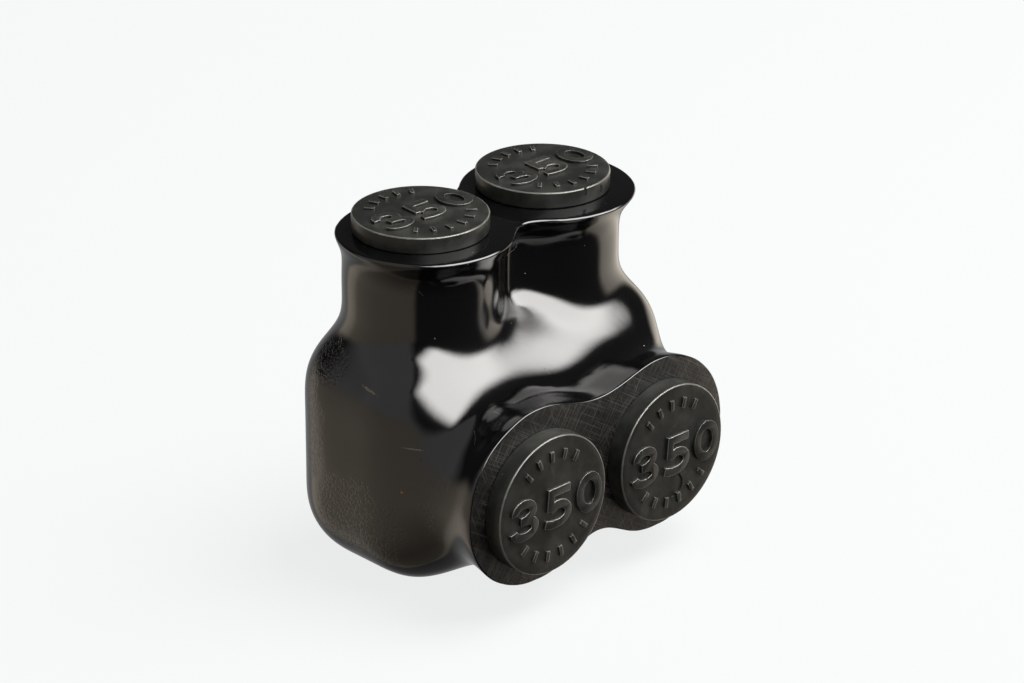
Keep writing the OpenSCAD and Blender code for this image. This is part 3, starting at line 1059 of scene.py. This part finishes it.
# Pale paper that takes the object's shadow, and to the camera mostly glows, so that
# it meets the white backdrop without an edge
mat, t = material("pale_paper_floor")
paper = add(t, "BsdfDiffuse", Color=WHITE)
glow = add(t, "Emission", Color=WHITE, Strength=FLOOR_GLOW)
seen = add(t, "MixShader", Fac=FLOOR_SHARE, in_1=paper, in_2=glow)
both = add(t, "MixShader", Fac=add(t, "LightPath").outputs["Is Camera Ray"],
           in_1=paper, in_2=seen)
add(t, "OutputMaterial", Surface=both)
floor.data.materials.append(mat)

lamp = bpy.data.objects.new("overhead_softbox", bpy.data.lights.new("overhead", "AREA"))
bpy.context.scene.collection.objects.link(lamp)
lamp.data.shape = "SQUARE"
lamp.data.size = LAMP_SIZE
lamp.data.energy = LAMP_POWER
lamp.location = LAMP_AT
lamp.rotation_mode = "QUATERNION"
lamp.rotation_quaternion = Vector(LAMP_AT).to_track_quat("Z", "Y")
lamp.visible_glossy = False

# ---------------------------------------------------------------- room

# What reflections see round the object. Directions are in degrees, 0 straight in
# front of it and 90 on its right, and each has a grey level or a colour.
BACK_WALL = (0.42, 0.37, 0.31)
PALE_TABLE = (0.27, 0.235, 0.19)
BRIGHT_WALL = (0.64, 0.58, 0.5)
DIM, DARK, BLACK = 0.15, 0.03, 0.02
WINDOW = 0.25
ROOM_LIGHT = 2.4              # strength of the room in reflections
SOFT_LIGHT = 0.12             # strength of the even light on the object
ROOM = {
    "below": ((-180, DIM), (-170, BACK_WALL), (-158, BACK_WALL), (-148, PALE_TABLE),
              (-55, PALE_TABLE), (-48, DARK), (48, DARK), (60, BRIGHT_WALL),
              (112, BRIGHT_WALL), (125, DIM), (180, DIM)),
    "above": ((-150, BLACK), (-130, WINDOW), (-62, WINDOW), (-50, BLACK), (180, BLACK)),
}

world = bpy.data.worlds.new("studio")
bpy.context.scene.world = world
world.use_nodes = True
t = world.node_tree
t.nodes.clear()
way = add(t, "SeparateXYZ", Vector=add(t, "TexCoord").outputs["Generated"])
front = add(t, "Math", TIMES, in_0=way.outputs["Y"], in_1=-1.0)
turn = add(t, "Math", {"operation": "ARCTAN2"}, in_0=way.outputs["X"], in_1=front)
around = add(t, "MapRange", Value=turn, From_Min=-HALF_TURN, From_Max=HALF_TURN)
walls = {}
for part, stops in ROOM.items():
    walls[part] = add(t, "ValToRGB", Fac=around)
    line = walls[part].color_ramp
    line.elements.remove(line.elements[1])
    for i, (degrees, shade) in enumerate(stops):
        at = (degrees + 180) / 360
        stop = line.elements[0] if i == 0 else line.elements.new(at)
        stop.position = at
        stop.color = (*shade, 1) if isinstance(shade, tuple) else (shade,) * 3 + (1,)
# The table is darker close round the object, where it stands in its own shade
close = add(t, "MapRange", Value=way.outputs["Z"], From_Min=-0.9, From_Max=-0.5,
            To_Min=0.35)
shaded = add(t, "VectorMath", {"operation": "SCALE"}, in_0=walls["below"], Scale=close)
lift = add(t, "MapRange", SOFT_STEP, Value=way.outputs["Z"], From_Min=-0.12,
           From_Max=0.12)
room = add(t, "Mix", AS_COLOUR, in_0=lift, in_6=shaded, in_7=walls["above"])
# Reflections see the room, diffuse light is dim, and the camera sees white
reflected = add(t, "Background", Color=room.outputs[2], Strength=ROOM_LIGHT)
soft = add(t, "Background", Color=(1, 1, 1, 1), Strength=SOFT_LIGHT)
white = add(t, "Background", Color=WHITE, Strength=1.0)
path = add(t, "LightPath")
mixed = add(t, "MixShader", Fac=path.outputs["Is Glossy Ray"], in_1=soft, in_2=reflected)
final = add(t, "MixShader", Fac=path.outputs["Is Camera Ray"], in_1=mixed, in_2=white)
add(t, "OutputWorld", Surface=final)

bpy.context.scene.view_settings.view_transform = "Standard"
